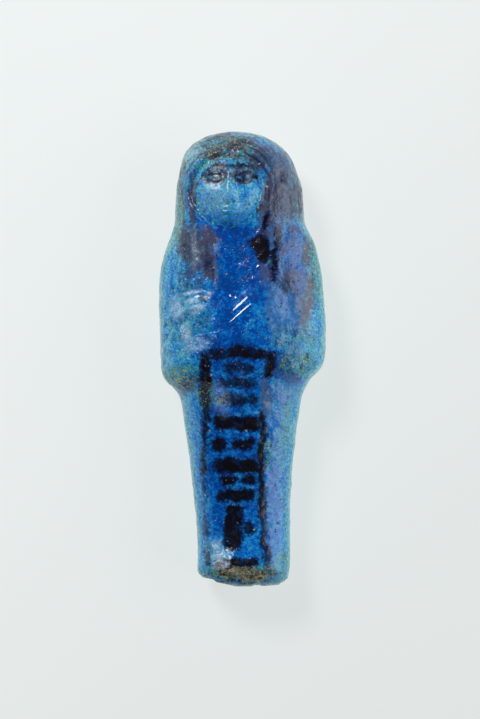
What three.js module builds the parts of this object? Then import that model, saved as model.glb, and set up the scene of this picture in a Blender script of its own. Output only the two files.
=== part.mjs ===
// A moulded ushabti of blue-glazed faience: a mummy in a long wig, arms crossed on its chest,
// pressed in an open mould as one piece and scraped flat behind. It lies on its back.
// X runs to the figure's own left, Y from its sole to its crown, and Z up, out of its chest.
// The origin is on the resting plane, under the middle of the figure. Lengths are in millimetres.
import * as THREE from "three";

const { clamp, lerp, smoothstep } = THREE.MathUtils;

const figureLength = 90; // sole to crown
const domeBase = 82; // height above the sole where the crown starts to round over
const soleRounding = 1.6; // radius of the edge round the sole
const widestLevel = 0.46; // share of the depth, from the back, at which a section is widest

// Sections of the body, by height above the sole. left and right are the distances from the
// middle plane to the figure's two sides, and front and back are levels. ridge is where the front
// is highest, which the mould has drawn to the figure's right. square is the exponent of the
// section's outline: 2 is an ellipse, and more is boxier.
const sections = {
  sole: { up: 0, left: 9.0, right: 8.5, ridge: -0.4, front: 11.2, back: 1.0, square: 2.4 },
  toes: { up: 3, left: 9.5, right: 8.75, ridge: -0.4, front: 14.2, back: 0.3, square: 2.6 },
  instep: { up: 7, left: 9.7, right: 8.7, ridge: -0.5, front: 13.2, back: 0.0, square: 2.55 },
  ankle: { up: 12, left: 9.75, right: 8.85, ridge: -0.6, front: 12.5, back: -0.2, square: 2.4 },
  shin: { up: 20, left: 9.9, right: 9.8, ridge: -0.8, front: 13.3, back: -0.4, square: 2.25 },
  knee: { up: 28, left: 10.6, right: 10.7, ridge: -1.0, front: 14.6, back: -0.4, square: 2.2 },
  thigh: { up: 35, left: 11.6, right: 11.8, ridge: -1.1, front: 15.8, back: -0.4, square: 2.15 },
  hip: { up: 38.3, left: 12.3, right: 12.6, ridge: -1.2, front: 16.5, back: -0.4, square: 2.15 },
  elbowEnd: { up: 41.2, left: 13.9, right: 15.5, ridge: -1.3, front: 17.1, back: -0.3, square: 2.3 },
  elbowTurn: { up: 43, left: 15.75, right: 15.85, ridge: -1.4, front: 17.4, back: -0.2, square: 2.35 },
  elbow: { up: 44.5, left: 16.4, right: 15.95, ridge: -1.5, front: 17.6, back: -0.1, square: 2.35 },
  forearm: { up: 50, left: 16.7, right: 16.2, ridge: -1.7, front: 17.8, back: 0.3, square: 2.3 },
  upperArm: { up: 57, left: 16.35, right: 16.4, ridge: -1.8, front: 17.5, back: 0.5, square: 2.25 },
  shoulder: { up: 63.5, left: 15.55, right: 15.9, ridge: -1.9, front: 17.0, back: 0.2, square: 2.25 },
  collar: { up: 67.5, left: 14.7, right: 14.8, ridge: -2.0, front: 16.6, back: -0.2, square: 2.3 },
  neck: { up: 71.5, left: 12.7, right: 13.3, ridge: -2.2, front: 16.5, back: -0.3, square: 2.3 },
  jaw: { up: 75, left: 12.4, right: 13.1, ridge: -2.3, front: 16.9, back: -0.3, square: 2.3 },
  temple: { up: 79, left: 11.95, right: 12.85, ridge: -2.4, front: 17.3, back: -0.2, square: 2.3 },
  brow: { up: domeBase, left: 10.95, right: 12.2, ridge: -2.2, front: 17.5, back: 0.2, square: 2.3 },
  crown: { up: figureLength, left: 10.4, right: 12.9, ridge: -1.2, front: 16.9, back: 1.6, square: 2.2 },
};

// The head's features by the usual canon: eyes halfway up the head, the nose halfway from them to
// the chin, and the mouth a third of the way from the nose to the chin.
const chinUp = 70.8;
const headHeight = figureLength - chinUp;
const face = {
  halfWidth: 0.345 * headHeight,
  hairline: chinUp + 0.69 * headHeight,
  eyes: chinUp + headHeight / 2,
  nose: chinUp + headHeight / 4,
  mouth: chinUp + headHeight / 6,
  rim: 15.9, // level of its edge, under the wig
  bulge: 2.2, // of the forehead and cheeks over that edge
  groove: 0.5, // depth of the groove between it and the wig
};

// The crossed arms: x and height of each end. The figure's right arm lies over its left. Each is
// a mound with a crisp upper edge, and a long skirt that dies away into the belly.
const rightArm = { elbow: [-12.6, 43.0], hand: [4.6, 56.0], rise: 0.55, fistRise: 0.1 };
const leftArm = { elbow: [12.8, 44.4], hand: [-7.6, 54.6], rise: 0.55, fistRise: 0.65 };
const forearm = { radius: 4.3, skirt: 8 };
const fist = { reach: 1.4, radius: 3.4 };
const upperArm = { x: 13.2, low: 46, high: 60, radius: 5, rise: 0.3 };

// The step with which each elbow ends over the hip: a line from its inner to its outer end.
const elbowSteps = {
  right: { inner: [-8.8, 41.5], outer: [-13.0, 38.6] },
  left: { inner: [6.0, 43.1], outer: [12.4, 39.4] },
  depth: 0.75,
  fade: 5, // how far below the line the hip has come back to the plain surface
};

// The wig's two lappets hang over the breast, the figure's left one softer. inner and outer are
// distances from the middle plane. The throat is sunk between them, deepest at the chin.
const lappets = {
  right: { inner: 5.2, outer: 12.2, rise: 0.55, edge: 2.2, bank: 3.4 },
  left: { inner: 4.0, outer: 11.0, rise: 0.3, edge: 3.4, bank: 5 },
  end: 58.6,
};
const throat = { x: -1.3, foot: 51.6, rightSlope: 0.95, leftSlope: 0.8, depth: 0.9, bank: 3.4 };
const toeWear = { x: 0.2, up: 2.6, halfWidth: 6.4, halfHeight: 2.0, depth: 0.6 };

// How finely the surface is divided: rows along the body, columns round its front and its back.
const rowStretches = [
  { from: 0, to: 1.2, rows: 3 },
  { from: 1.2, to: 8, rows: 6 },
  { from: 8, to: 36, rows: 9 },
  { from: 36, to: 44, rows: 9 },
  { from: 44, to: 69.5, rows: 18 },
  { from: 69.5, to: domeBase, rows: 17 },
];
const domeRows = 10;
const frontColumns = 46;
const backColumns = 22;

// Interpolates the named sections smoothly: returns a function of the height above the sole.
function sectionCurve(named) {
  const list = Object.values(named);
  const keys = Object.keys(list[0]).filter((key) => key !== "up");
  const ups = list.map((section) => section.up);
  const values = list.flatMap((section) => keys.map((key) => section[key]));
  const curve = new THREE.CubicInterpolant(ups, values, keys.length);
  return (up) => {
    const found = curve.evaluate(up);
    return Object.fromEntries(keys.map((key, i) => [key, found[i]]));
  };
}

const sectionAt = sectionCurve(sections);

// 1 inside the edge, 0 outside it, with a soft step of the given width about it.
const within = (value, edge, softness) =>
  1 - smoothstep(value, edge - softness / 2, edge + softness / 2);

// A rounded mound: 1 on the segment from a to b, and 0 from the radius outward. On the segment's
// lower side it reaches as far as the skirt.
function mound(x, up, a, b, radius, skirt = radius) {
  const along = new THREE.Vector2(b[0] - a[0], b[1] - a[1]);
  const length = along.length();
  along.divideScalar(length);
  const run = (x - a[0]) * along.x + (up - a[1]) * along.y;
  const beyond = Math.max(0, -run, run - length);
  const above = ((up - a[1]) * along.x - (x - a[0]) * along.y) * Math.sign(along.x || 1);
  const squared = (beyond / radius) ** 2 + (above / (above < 0 ? skirt : radius)) ** 2;
  return Math.max(0, 1 - squared);
}

// One forearm with the fist at its end.
function forearmRelief(x, up, arm) {
  const [handX, handUp] = arm.hand;
  const knuckles = [handX + fist.reach * Math.sign(handX), handUp + fist.reach / 3];
  return (
    arm.rise * mound(x, up, arm.elbow, arm.hand, forearm.radius, forearm.skirt) +
    arm.fistRise * mound(x, up, arm.hand, knuckles, fist.radius)
  );
}

// Height of the crossed arms over the chest. The upper one hides the lower.
function armRelief(x, up) {
  const shoulder = [upperArm.x, upperArm.high];
  const elbow = [upperArm.x, upperArm.low];
  return Math.max(
    forearmRelief(x, up, leftArm),
    forearmRelief(x, up, rightArm),
    upperArm.rise * mound(Math.abs(x), up, elbow, shoulder, upperArm.radius),
  );
}

// The hips, sunk just under the elbows.
function hipRelief(x, up) {
  const { inner, outer } = x < 0 ? elbowSteps.right : elbowSteps.left;
  const share = (x - inner[0]) / (outer[0] - inner[0]);
  const below = lerp(inner[1], outer[1], share) - up;
  const sunk = smoothstep(below, -1, 1) * clamp(1 - below / elbowSteps.fade, 0, 1);
  return -elbowSteps.depth * sunk * smoothstep(share, -0.7, 0.3);
}

// The lappets and the throat, relative to the body's plain surface.
function wigRelief(x, up) {
  const onRight = x < throat.x;
  const lappet = onRight ? lappets.right : lappets.left;
  const aside = onRight ? -x : x;
  const hanging =
    smoothstep(up, lappets.end - 1.2, lappets.end + 1.2) * within(up, chinUp + 6, 5);
  const band = within(aside, lappet.outer, 2.4) * (1 - within(aside, lappet.inner, lappet.edge));
  const slope = onRight ? -throat.rightSlope : throat.leftSlope;
  const overFoot = 0.8 * (up - throat.foot - slope * (x - throat.x));
  const sunk =
    smoothstep(overFoot, -throat.bank / 3, throat.bank) *
    smoothstep(lappet.inner - aside, -lappet.bank / 3, lappet.bank) *
    within(up, chinUp + 4, 4);
  const depth = throat.depth * smoothstep(up, throat.foot, chinUp - 1);
  return lappet.rise * hanging * band - depth * sunk;
}

// The features that stand on the face's oval. x is from its middle.
function featureRelief(x, up) {
  const aside = Math.abs(x);
  const eyeX = 0.42 * face.halfWidth;
  const noseShare = clamp((face.eyes + 1.2 - up) / (face.eyes + 1.2 - face.nose), 0, 1);
  const noseWidth = lerp(1.1, 2.1, noseShare);
  const noseEnd = smoothstep(up, face.nose - 1.1, face.nose + 0.6);
  const nose = lerp(0.3, 1.35, noseShare) * noseEnd * (1 - smoothstep(aside, 0, noseWidth));
  const socket = -0.6 * mound(aside, up, [eyeX - 0.5, face.eyes], [eyeX + 0.7, face.eyes], 2.2);
  const eye = 0.5 * mound(aside, up, [eyeX - 0.6, face.eyes], [eyeX + 0.6, face.eyes], 1.2);
  const brow = 0.35 * mound(aside, up, [0.9, face.eyes + 1.9], [3.9, face.eyes + 1.7], 1.2);
  const lips = 0.65 * mound(aside, up, [0, face.mouth], [1.5, face.mouth], 0.95);
  const chin = 0.55 * mound(x, up, [-0.3, chinUp + 1.3], [0.3, chinUp + 1.3], 1.6);
  return nose + socket + eye + brow + lips + chin;
}

// Lays the face's oval into the wig, with a groove round it, which the mould has filled under its
// left cheek. Takes the level of the wig, and returns the face's inside the oval.
function faceLevel(x, up, wigLevel) {
  const middle = (face.hairline + chinUp) / 2;
  const halfHeight = (face.hairline - chinUp) / 2;
  const rise = clamp((up - middle) / halfHeight, -1, 1);
  const halfWidth = face.halfWidth * (rise < 0 ? 1 + 0.16 * rise : 1);
  const reach = Math.hypot(x / halfWidth, (up - middle) / halfHeight);
  const level = face.rim + face.bulge * Math.max(0, 1 - reach ** 2.4) + featureRelief(x, up);
  const open = Math.max(within(x, 1, 3), smoothstep(up, face.mouth, face.eyes));
  const groove = face.groove * open * Math.max(0, 1 - ((reach - 1.08) / 0.2) ** 2);
  return lerp(wigLevel - groove, level, within(reach, 0.96, 0.24));
}

// Everything modelled on the front, at a point of the plain body.
function frontLevel(x, up, plainLevel, facing) {
  const relief = armRelief(x, up) + hipRelief(x, up) + wigRelief(x, up);
  const worn = toeWear.depth * mound(
    (x - toeWear.x) / toeWear.halfWidth,
    (up - toeWear.up) / toeWear.halfHeight,
    [-0.4, 0],
    [0.4, 0],
    1,
  );
  const level = plainLevel + (relief - worn) * smoothstep(facing, 0.05, 0.5);
  return faceLevel(x - sections.temple.ridge, up, level);
}

// Heights of the rows of vertices between the sole and the crown, both left out.
function rowHeights() {
  const body = rowStretches.flatMap(({ from, to, rows }) =>
    Array.from({ length: rows }, (_, i) => lerp(from, to, i / rows)),
  );
  const dome = Array.from({ length: domeRows }, (_, i) =>
    lerp(domeBase, figureLength, Math.sin((i / domeRows) * (Math.PI / 2))),
  );
  return [...body, ...dome];
}

// Angles round a section, from the figure's right side over the front and back under it.
// The front's columns close up towards the ridge, where the nose and the hands are.
function columnAngles() {
  const front = Array.from({ length: frontColumns }, (_, i) => {
    const even = lerp(-Math.PI / 2, Math.PI / 2, i / frontColumns);
    return even - 0.13 * Math.sin(2 * even);
  });
  const back = Array.from({ length: backColumns }, (_, i) =>
    lerp(Math.PI / 2, (3 * Math.PI) / 2, i / backColumns),
  );
  return [...front, ...back];
}

// One vertex of the skin, at an angle round the section at a height.
function skinPoint(up, angle) {
  const section = sectionAt(up);
  const domed = Math.sqrt(1 - clamp((up - domeBase) / (figureLength - domeBase), 0, 1) ** 2);
  const edge = clamp(1 - up / soleRounding, 0, 1);
  const inset = soleRounding * (1 - Math.sqrt(1 - edge * edge));

  const across = Math.sin(angle);
  const side = across < 0 ? section.ridge + section.right : section.left - section.ridge;
  const x = section.ridge + across * (side * domed - inset);

  const roundness = (1 - Math.abs(across) ** section.square) ** (1 / section.square);
  const facing = Math.sign(Math.cos(angle)) * roundness;
  const waist = lerp(section.back, section.front, widestLevel);
  const depth = facing > 0 ? section.front - waist : waist - section.back;
  const plain = waist + facing * (depth * domed - inset);
  const level = facing > 0 ? frontLevel(x, up, plain, facing) : plain;
  return new THREE.Vector3(x, up, level);
}

// Flats that the plain form is cut to: the scraped back, and the corner broken off the feet.
const restingPlane = new THREE.Plane(new THREE.Vector3(0, 0, 1), 0);
const brokenCorner = new THREE.Plane().setFromNormalAndCoplanarPoint(
  new THREE.Vector3(0.25, 0.96, -0.1).normalize(),
  new THREE.Vector3(-7.6, 1.45, 8),
);

function trimmed(point) {
  for (const plane of [restingPlane, brokenCorner]) {
    if (plane.distanceToPoint(point) < 0) plane.projectPoint(point, point);
  }
  return point;
}

// The closed skin: rings of points, joined by quads, with a fan over the sole and the crown. Each
// quad is split along the diagonal that changes level least, which keeps the creases clean.
function figureGeometry() {
  const angles = columnAngles();
  const rings = rowHeights().map((up) => angles.map((angle) => trimmed(skinPoint(up, angle))));
  const columns = angles.length;
  const soleCentre = new THREE.Vector3(0, 0, 6.5);
  const crownTip = skinPoint(figureLength, 0);
  const points = [...rings.flat(), soleCentre, crownTip];
  const [sole, crown] = [points.length - 2, points.length - 1];
  const lastRing = (rings.length - 1) * columns;

  const index = [];
  for (let j = 0; j < columns; j++) {
    const next = (j + 1) % columns;
    for (let i = 0; i < rings.length - 1; i++) {
      const [a, b] = [i * columns + j, i * columns + next];
      const [c, d] = [b + columns, a + columns];
      const rise = (from, to) => Math.abs(points[to].z - points[from].z);
      index.push(...(rise(a, c) < rise(b, d) ? [a, b, c, a, c, d] : [a, b, d, b, c, d]));
    }
    index.push(sole, next, j);
    index.push(crown, lastRing + j, lastRing + next);
  }
  const geometry = new THREE.BufferGeometry().setFromPoints(points).setIndex(index);
  geometry.computeBoundingBox();
  const centre = geometry.boundingBox.getCenter(new THREE.Vector3());
  geometry.translate(-centre.x, -centre.y, -geometry.boundingBox.min.z);
  geometry.computeVertexNormals();
  return geometry;
}

const glaze = new THREE.MeshStandardMaterial({ color: 0x2a78ae, roughness: 0.3, metalness: 0 });

const figure = new THREE.Mesh(figureGeometry(), glaze);
figure.name = "ushabti_figure";

const ushabti = new THREE.Group();
ushabti.add(figure);

export default ushabti;
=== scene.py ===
from math import cos, pi, radians, sin

import bmesh
import bpy
import numpy as np
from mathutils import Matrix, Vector


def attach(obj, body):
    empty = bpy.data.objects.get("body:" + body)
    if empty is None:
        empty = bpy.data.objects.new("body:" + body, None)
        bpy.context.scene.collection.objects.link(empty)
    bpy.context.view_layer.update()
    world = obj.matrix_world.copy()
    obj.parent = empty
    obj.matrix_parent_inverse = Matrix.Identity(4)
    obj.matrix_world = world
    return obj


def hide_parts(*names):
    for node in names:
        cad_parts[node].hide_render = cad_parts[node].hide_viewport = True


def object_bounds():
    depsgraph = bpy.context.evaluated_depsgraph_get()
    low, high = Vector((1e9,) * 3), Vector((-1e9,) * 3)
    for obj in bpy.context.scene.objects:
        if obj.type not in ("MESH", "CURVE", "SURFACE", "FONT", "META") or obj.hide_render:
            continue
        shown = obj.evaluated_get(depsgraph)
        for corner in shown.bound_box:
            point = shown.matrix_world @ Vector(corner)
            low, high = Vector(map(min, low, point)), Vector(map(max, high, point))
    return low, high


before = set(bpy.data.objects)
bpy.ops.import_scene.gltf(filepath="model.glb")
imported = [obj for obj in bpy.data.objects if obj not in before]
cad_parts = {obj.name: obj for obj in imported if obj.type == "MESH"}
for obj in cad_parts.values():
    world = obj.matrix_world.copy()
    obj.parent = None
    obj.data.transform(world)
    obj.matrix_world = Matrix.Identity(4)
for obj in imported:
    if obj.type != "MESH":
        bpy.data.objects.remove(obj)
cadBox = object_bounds()
print("packed figure loaded")

# The figure's own measures, in millimetres: x is across, positive to its own left, and up is the
# height above its sole. The solid's origin is under the middle of its box.
millimetre = 0.001
figureHeight = 90.0
boxMiddle = {"x": 0.15, "up": figureHeight / 2}
chinUp = 70.8
headHeight = figureHeight - chinUp
faceX = -2.4

# Small tools: soft edges, spots, brush strokes and smooth noise.


def softStep(value, low, high):
    share = np.clip((value - low) / (high - low), 0, 1)
    return share * share * (3 - 2 * share)


def hump(value, middle, halfWidth):
    return np.clip(1 - ((value - middle) / halfWidth) ** 2, 0, 1)


def patch(x, up, spot):
    # 1 in the middle of a turned oval, 0 at its edge, and below 0 outside
    turn = radians(spot.get("tilt", 0))
    dx = x - spot["x"]
    dy = up - spot["up"]
    across = dx * cos(turn) + dy * sin(turn)
    along = dy * cos(turn) - dx * sin(turn)
    return 1 - np.hypot(across / spot["wide"], along / spot["tall"])


def gather(x, up, spots, soft):
    # the strongest of several soft-edged ovals
    total = np.zeros(len(x))
    for spot in spots:
        edge = spot.get("soft", soft)
        total = np.maximum(total, spot["strength"] * softStep(patch(x, up, spot), -edge, edge))
    return total


def strokeDepth(x, up, start, end, width):
    # how far inside a round-ended brush stroke a point is, in millimetres
    startX, startUp = start
    dx = end[0] - startX
    dy = end[1] - startUp
    share = np.clip(((x - startX) * dx + (up - startUp) * dy) / (dx * dx + dy * dy), 0, 1)
    return width / 2 - np.hypot(x - startX - share * dx, up - startUp - share * dy)


def strokeRelief(x, up, strokes):
    # soft ridges, or creases where the rise is below 0
    total = np.zeros(len(x))
    for stroke in strokes:
        inside = strokeDepth(x, up, stroke["start"], stroke["end"], stroke["width"])
        total += stroke["rise"] * softStep(inside, -stroke.get("soft", 0), stroke["width"] / 2)
    return total


def ripple(points, wavelength, seed):
    # smooth random unevenness with a mean of 0 and a spread of 1
    waves = 28
    random = np.random.default_rng(seed)
    directions = random.normal(size=(waves, 3))
    directions /= np.linalg.norm(directions, axis=1)[:, None]
    lengths = wavelength * random.uniform(0.7, 1.7, waves)
    turns = random.uniform(0, 2 * pi, waves)
    total = np.zeros(len(points))
    for i in range(waves):
        total += np.cos(points @ (directions[i] * 2 * pi / lengths[i]) + turns[i])
    return total / np.sqrt(waves / 2)


# The fine skin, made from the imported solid.
skin = {
    "name": "glazed_figure",
    "weld": 2e-6,  # metres
    "joinBelow": 40,  # degrees between two triangles that become one face
    "joinSkew": 60,  # degrees that its corners may be off square
    "rounding": 2,  # levels of subdivision
    "cell": 0.32,  # mm, side of the fine mesh's squares
    "smoothing": 6,
    "fineSpots": [  # middle and reach of what gets a second, finer mesh, mm
        ((faceX, chinUp + 8, 18), 9.5),
        ((-0.5, 54, 15), 4.5),
        ((-9, 57, 16), 4),
    ],
}


def applied(piece):
    # makes the modifiers' result the piece's own mesh
    settled = bpy.context.evaluated_depsgraph_get()
    mesh = bpy.data.meshes.new_from_object(piece.evaluated_get(settled))
    old = piece.data
    piece.modifiers.clear()
    piece.data = mesh
    bpy.data.meshes.remove(old)


def refine(work, middle, reach):
    # halves the edges near a place
    near = []
    for edge in work.edges:
        if all((corner.co - middle).length < reach for corner in edge.verts):
            near.append(edge)
    bmesh.ops.subdivide_edges(work, edges=near, cuts=1, use_grid_fill=True)


def makeSkin(solid):
    piece = bpy.data.objects.new(skin["name"], solid.data.copy())
    bpy.context.scene.collection.objects.link(piece)
    work = bmesh.new()
    work.from_mesh(piece.data)
    bmesh.ops.remove_doubles(work, verts=work.verts, dist=skin["weld"])
    bmesh.ops.join_triangles(
        work,
        faces=work.faces,
        angle_face_threshold=radians(skin["joinBelow"]),
        angle_shape_threshold=radians(skin["joinSkew"]),
    )
    work.to_mesh(piece.data)
    work.free()
    rounding = piece.modifiers.new("rounding", "SUBSURF")
    rounding.levels = skin["rounding"]
    evenMesh = piece.modifiers.new("even_mesh", "REMESH")
    evenMesh.mode = "VOXEL"
    evenMesh.voxel_size = skin["cell"] * millimetre
    fairing = piece.modifiers.new("fairing", "SMOOTH")
    fairing.iterations = skin["smoothing"]
    applied(piece)

    work = bmesh.new()
    work.from_mesh(piece.data)
    for (x, up, level), reach in skin["fineSpots"]:
        middle = Vector((x - boxMiddle["x"], up - boxMiddle["up"], level)) * millimetre
        refine(work, middle, reach * millimetre)
    work.to_mesh(piece.data)
    work.free()
    piece.data.materials.clear()
    return piece


def readPoints(mesh):
    count = len(mesh.vertices)
    points = np.empty(count * 3)
    normals = np.empty(count * 3)
    mesh.vertices.foreach_get("co", points)
    mesh.vertices.foreach_get("normal", normals)
    return points.reshape(-1, 3) / millimetre, normals.reshape(-1, 3)


def writePoints(mesh, points):
    mesh.vertices.foreach_set("co", (points * millimetre).ravel())
    mesh.update()


# The face: calm, on the usual canon of proportions. The spots at the nose count from its base.
face = {
    "halfWidth": 0.345 * headHeight,
    "taper": 0.16,  # share by which it narrows to the chin
    "top": chinUp + 0.69 * headHeight,
    "rimRise": 0.16,
    "grooveDepth": 0.3,
    "eyes": chinUp + headHeight / 2,
    "eyeAside": 0.42 * 0.345 * headHeight,
    "eyeLength": 3.5,
    "eyeOpening": 1.35,
    "eyeSlant": 0.05,
    "lidRise": 0.13,
    "ballRise": 0.06,
    "nose": chinUp + headHeight / 4,
    "wing": {"x": 1.15, "up": 0.25, "wide": 0.6, "tall": 0.75, "rise": 0.22},
    "nostril": {"x": 0.6, "up": -0.4, "wide": 0.4, "tall": 0.3, "rise": -0.25},
    "furrowDepth": 0.06,  # from the nose to the lips
    "mouth": chinUp + headHeight / 6,
    "mouthLength": 3.4,
    "lipRise": 0.2,
    "lipBow": 0.12,
    "partingDepth": 0.22,
}


def faceReach(x, up):
    # 1 on the edge of the face's oval, 0 in its middle
    middle = (face["top"] + chinUp) / 2
    halfHeight = (face["top"] - chinUp) / 2
    rise = np.clip((up - middle) / halfHeight, -1, 1)
    halfWidth = face["halfWidth"] * (1 + face["taper"] * np.minimum(rise, 0))
    return np.hypot((x - faceX) / halfWidth, (up - middle) / halfHeight)


def eyeShape(x, up):
    # distance from the eye's middle, height in halves of its opening there, and that opening's share
    aside = np.abs(x - faceX) - face["eyeAside"]
    run = np.clip(1 - (2 * aside / face["eyeLength"]) ** 2, 0, 1)
    half = face["eyeOpening"] / 2 * run + 0.02
    return aside, (up - face["eyes"] - face["eyeSlant"] * aside) / half, run


def faceRelief(x, up):
    aside, lift, run = eyeShape(x, up)
    # the lids lie just outside the opening, the lower one lighter
    lids = face["lidRise"] * hump(lift, 1.15, 0.55) * run
    lids += 0.6 * face["lidRise"] * hump(lift, -1.15, 0.5) * run
    ball = face["ballRise"] * np.clip(1 - lift ** 2, 0, 1) * run
    across = np.abs(x - faceX)
    lipRun = np.clip(1 - (2 * across / face["mouthLength"]) ** 2, 0, 1)
    bow = face["lipBow"] * np.cos(across * 2.2)
    upper = hump(up, face["mouth"] + 0.38 + bow, 0.4)
    lower = hump(up, face["mouth"] - 0.45, 0.5)
    parting = hump(up, face["mouth"] + 0.3 * bow, 0.16)
    total = lids + ball
    total += lipRun ** 0.6 * (face["lipRise"] * (upper + lower) - face["partingDepth"] * parting)
    for spot in (face["wing"], face["nostril"]):
        total += spot["rise"] * np.clip(patch(across, up - face["nose"], spot), 0, 1)
    return total - face["furrowDepth"] * hump(across, 0, 0.35) * hump(up, face["nose"] - 0.95, 0.6)


# The modelling of the front.
hands = {
    "fistX": -9.0,
    "fistUp": 55.0,
    "fingers": {  # counted from the fist's middle
        "count": 3,
        "from": -1.6,
        "to": 1.8,
        "top": 1.2,
        "pitch": 1.3,
        "slope": 0.3,
        "shorter": 0.3,  # each than the one above it
        "rise": 0.13,
    },
    "knuckles": [(-11.6, 56.6), (-9.9, 57.7), (-8.0, 57.9), (-6.0, 57.4)],
    "knuckleWidth": 1.0,
    "knuckleRise": 0.16,
    "cuffs": [  # the two crisp edges where the arms cross
        {"start": (-1.9, 53.9), "end": (1.3, 56.9), "width": 0.6, "rise": 0.07, "soft": 0.1},
        {"start": (-2.6, 51.6), "end": (1.9, 55.6), "width": 0.6, "rise": 0.09, "soft": 0.1},
    ],
    "creases": [  # under the elbows, where the arms end over the legs
        {"start": (6.4, 42.6), "end": (12.6, 39.6), "width": 1.3, "rise": -0.12},
        {"start": (-13.4, 38.9), "end": (-8.6, 41.2), "width": 1.4, "rise": -0.12},
    ],
}

lappets = {
    "ribs": [
        {"start": (-9.1, 59.5), "end": (-9.3, 70.0), "width": 3.6, "rise": 0.13},
        {"start": (7.2, 60.0), "end": (6.6, 71.0), "width": 3.0, "rise": 0.12},
    ],
    "hollow": {"x": -6.2, "up": 63.0, "wide": 1.6, "tall": 3.2, "depth": 0.25},
}

unevenness = {
    "waves": [  # wavelength and rise in mm, and seed
        (6.0, 0.04, 1),
        (2.2, 0.022, 2),
        (1.0, 0.009, 3),
    ],
    "lumps": [  # the same, for the rough spots
        (3.6, 0.12, 7),
        (1.7, 0.06, 17),
        (1.0, 0.026, 27),
    ],
    "roughSpots": [  # where the paste stood up under the glaze
        {"x": -10.5, "up": 51.5, "wide": 6.5, "tall": 9.0, "strength": 1.0},
        {"x": -12.5, "up": 42.0, "wide": 5.0, "tall": 4.5, "strength": 0.8},
        {"x": 9.5, "up": 46.5, "wide": 6.5, "tall": 5.5, "strength": 0.7},
        {"x": -4.0, "up": 85.5, "wide": 8.0, "tall": 4.0, "strength": 0.8},
        {"x": -3.0, "up": 39.5, "wide": 4.5, "tall": 5.5, "strength": 0.7},
        {"x": 8.5, "up": 76.0, "wide": 4.0, "tall": 9.0, "strength": 0.6},
        {"x": -8.8, "up": 66.0, "wide": 3.5, "tall": 5.5, "strength": 0.15},
        {"x": -12.0, "up": 76.0, "wide": 3.0, "tall": 8.0, "strength": 0.5},
        {"x": -4.6, "up": 6.4, "wide": 3.0, "tall": 3.0, "strength": 0.6},
        {"x": 7.6, "up": 31.0, "wide": 2.8, "tall": 9.0, "strength": 0.55},
    ],
    "calmSpots": [  # where edges catch the light in clean lines
        {"x": -0.4, "up": 54.4, "wide": 3.8, "tall": 2.4, "tilt": 42, "strength": 0.8},
        {"x": -8.8, "up": 57.6, "wide": 4.2, "tall": 1.1, "tilt": 8, "strength": 0.6},
        {"x": -9.2, "up": 65.5, "wide": 2.4, "tall": 6.0, "strength": 0.85},
    ],
    "calmFace": 0.75,  # share of it that the face is spared
    "margin": 0.01,  # mm that the skin keeps inside the solid's box
    "restingBelow": 0.02,  # mm, what lies on the table stays flat
}

pits = {
    "seed": 11,
    "tries": 2700,
    "kept": 0.12,  # share of the tries
    "keptAtRim": 0.4,  # and more where the surface turns away
    "radius": (0.3, 0.6),
    "depth": 0.26,  # share of the radius
}

toes = {"x": 0.2, "up": 2.7, "wide": 6.4, "tall": 2.1, "roughness": 0.2, "sink": 0.8}

chips = [
    {"x": -7.4, "up": 1.2, "wide": 3.2, "tall": 1.3, "tilt": -22, "depth": 0.5},
    {"x": 8.6, "up": 0.6, "wide": 1.2, "tall": 0.8, "tilt": 20, "depth": 0.3},
    {"x": 3.0, "up": 0.3, "wide": 1.0, "tall": 0.6, "depth": 0.25},
]


def handRelief(x, up):
    fingers = hands["fingers"]
    strokes = hands["cuffs"] + hands["creases"]
    for i in range(fingers["count"]):
        row = hands["fistUp"] + fingers["top"] - i * fingers["pitch"]
        start = (hands["fistX"] + fingers["from"] + fingers["shorter"] * i, row - fingers["slope"])
        end = (hands["fistX"] + fingers["to"] - fingers["shorter"] * i, row)
        strokes.append({"start": start, "end": end, "width": fingers["pitch"], "rise": fingers["rise"]})
    ridge = np.zeros(len(x))
    for start, end in zip(hands["knuckles"], hands["knuckles"][1:]):
        inside = strokeDepth(x, up, start, end, hands["knuckleWidth"])
        ridge = np.maximum(ridge, softStep(inside, 0, hands["knuckleWidth"] / 2))
    return strokeRelief(x, up, strokes) + hands["knuckleRise"] * ridge


def lappetRelief(x, up):
    hollow = lappets["hollow"]["depth"] * softStep(patch(x, up, lappets["hollow"]), 0, 1)
    return strokeRelief(x, up, lappets["ribs"]) - hollow


def pitField(points, normals):
    # scattered burst bubbles
    random = np.random.default_rng(pits["seed"])
    tried = random.choice(len(points), pits["tries"], replace=False)
    rims = 1 - np.clip(normals[tried, 2], 0, 1)
    kept = tried[random.random(len(tried)) < pits["kept"] + pits["keptAtRim"] * rims]
    total = np.zeros(len(points))
    order = np.argsort(points[:, 1])
    ups = points[order, 1]
    for i in kept:
        radius = random.uniform(*pits["radius"])
        low, high = np.searchsorted(ups, [points[i, 1] - radius, points[i, 1] + radius])
        near = order[low:high]
        away = np.linalg.norm(points[near] - points[i], axis=1) / radius
        depth = pits["depth"] * radius * (1 - softStep(away, 0.1, 1))
        total[near] = np.minimum(total[near], -depth)
    return total


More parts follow.
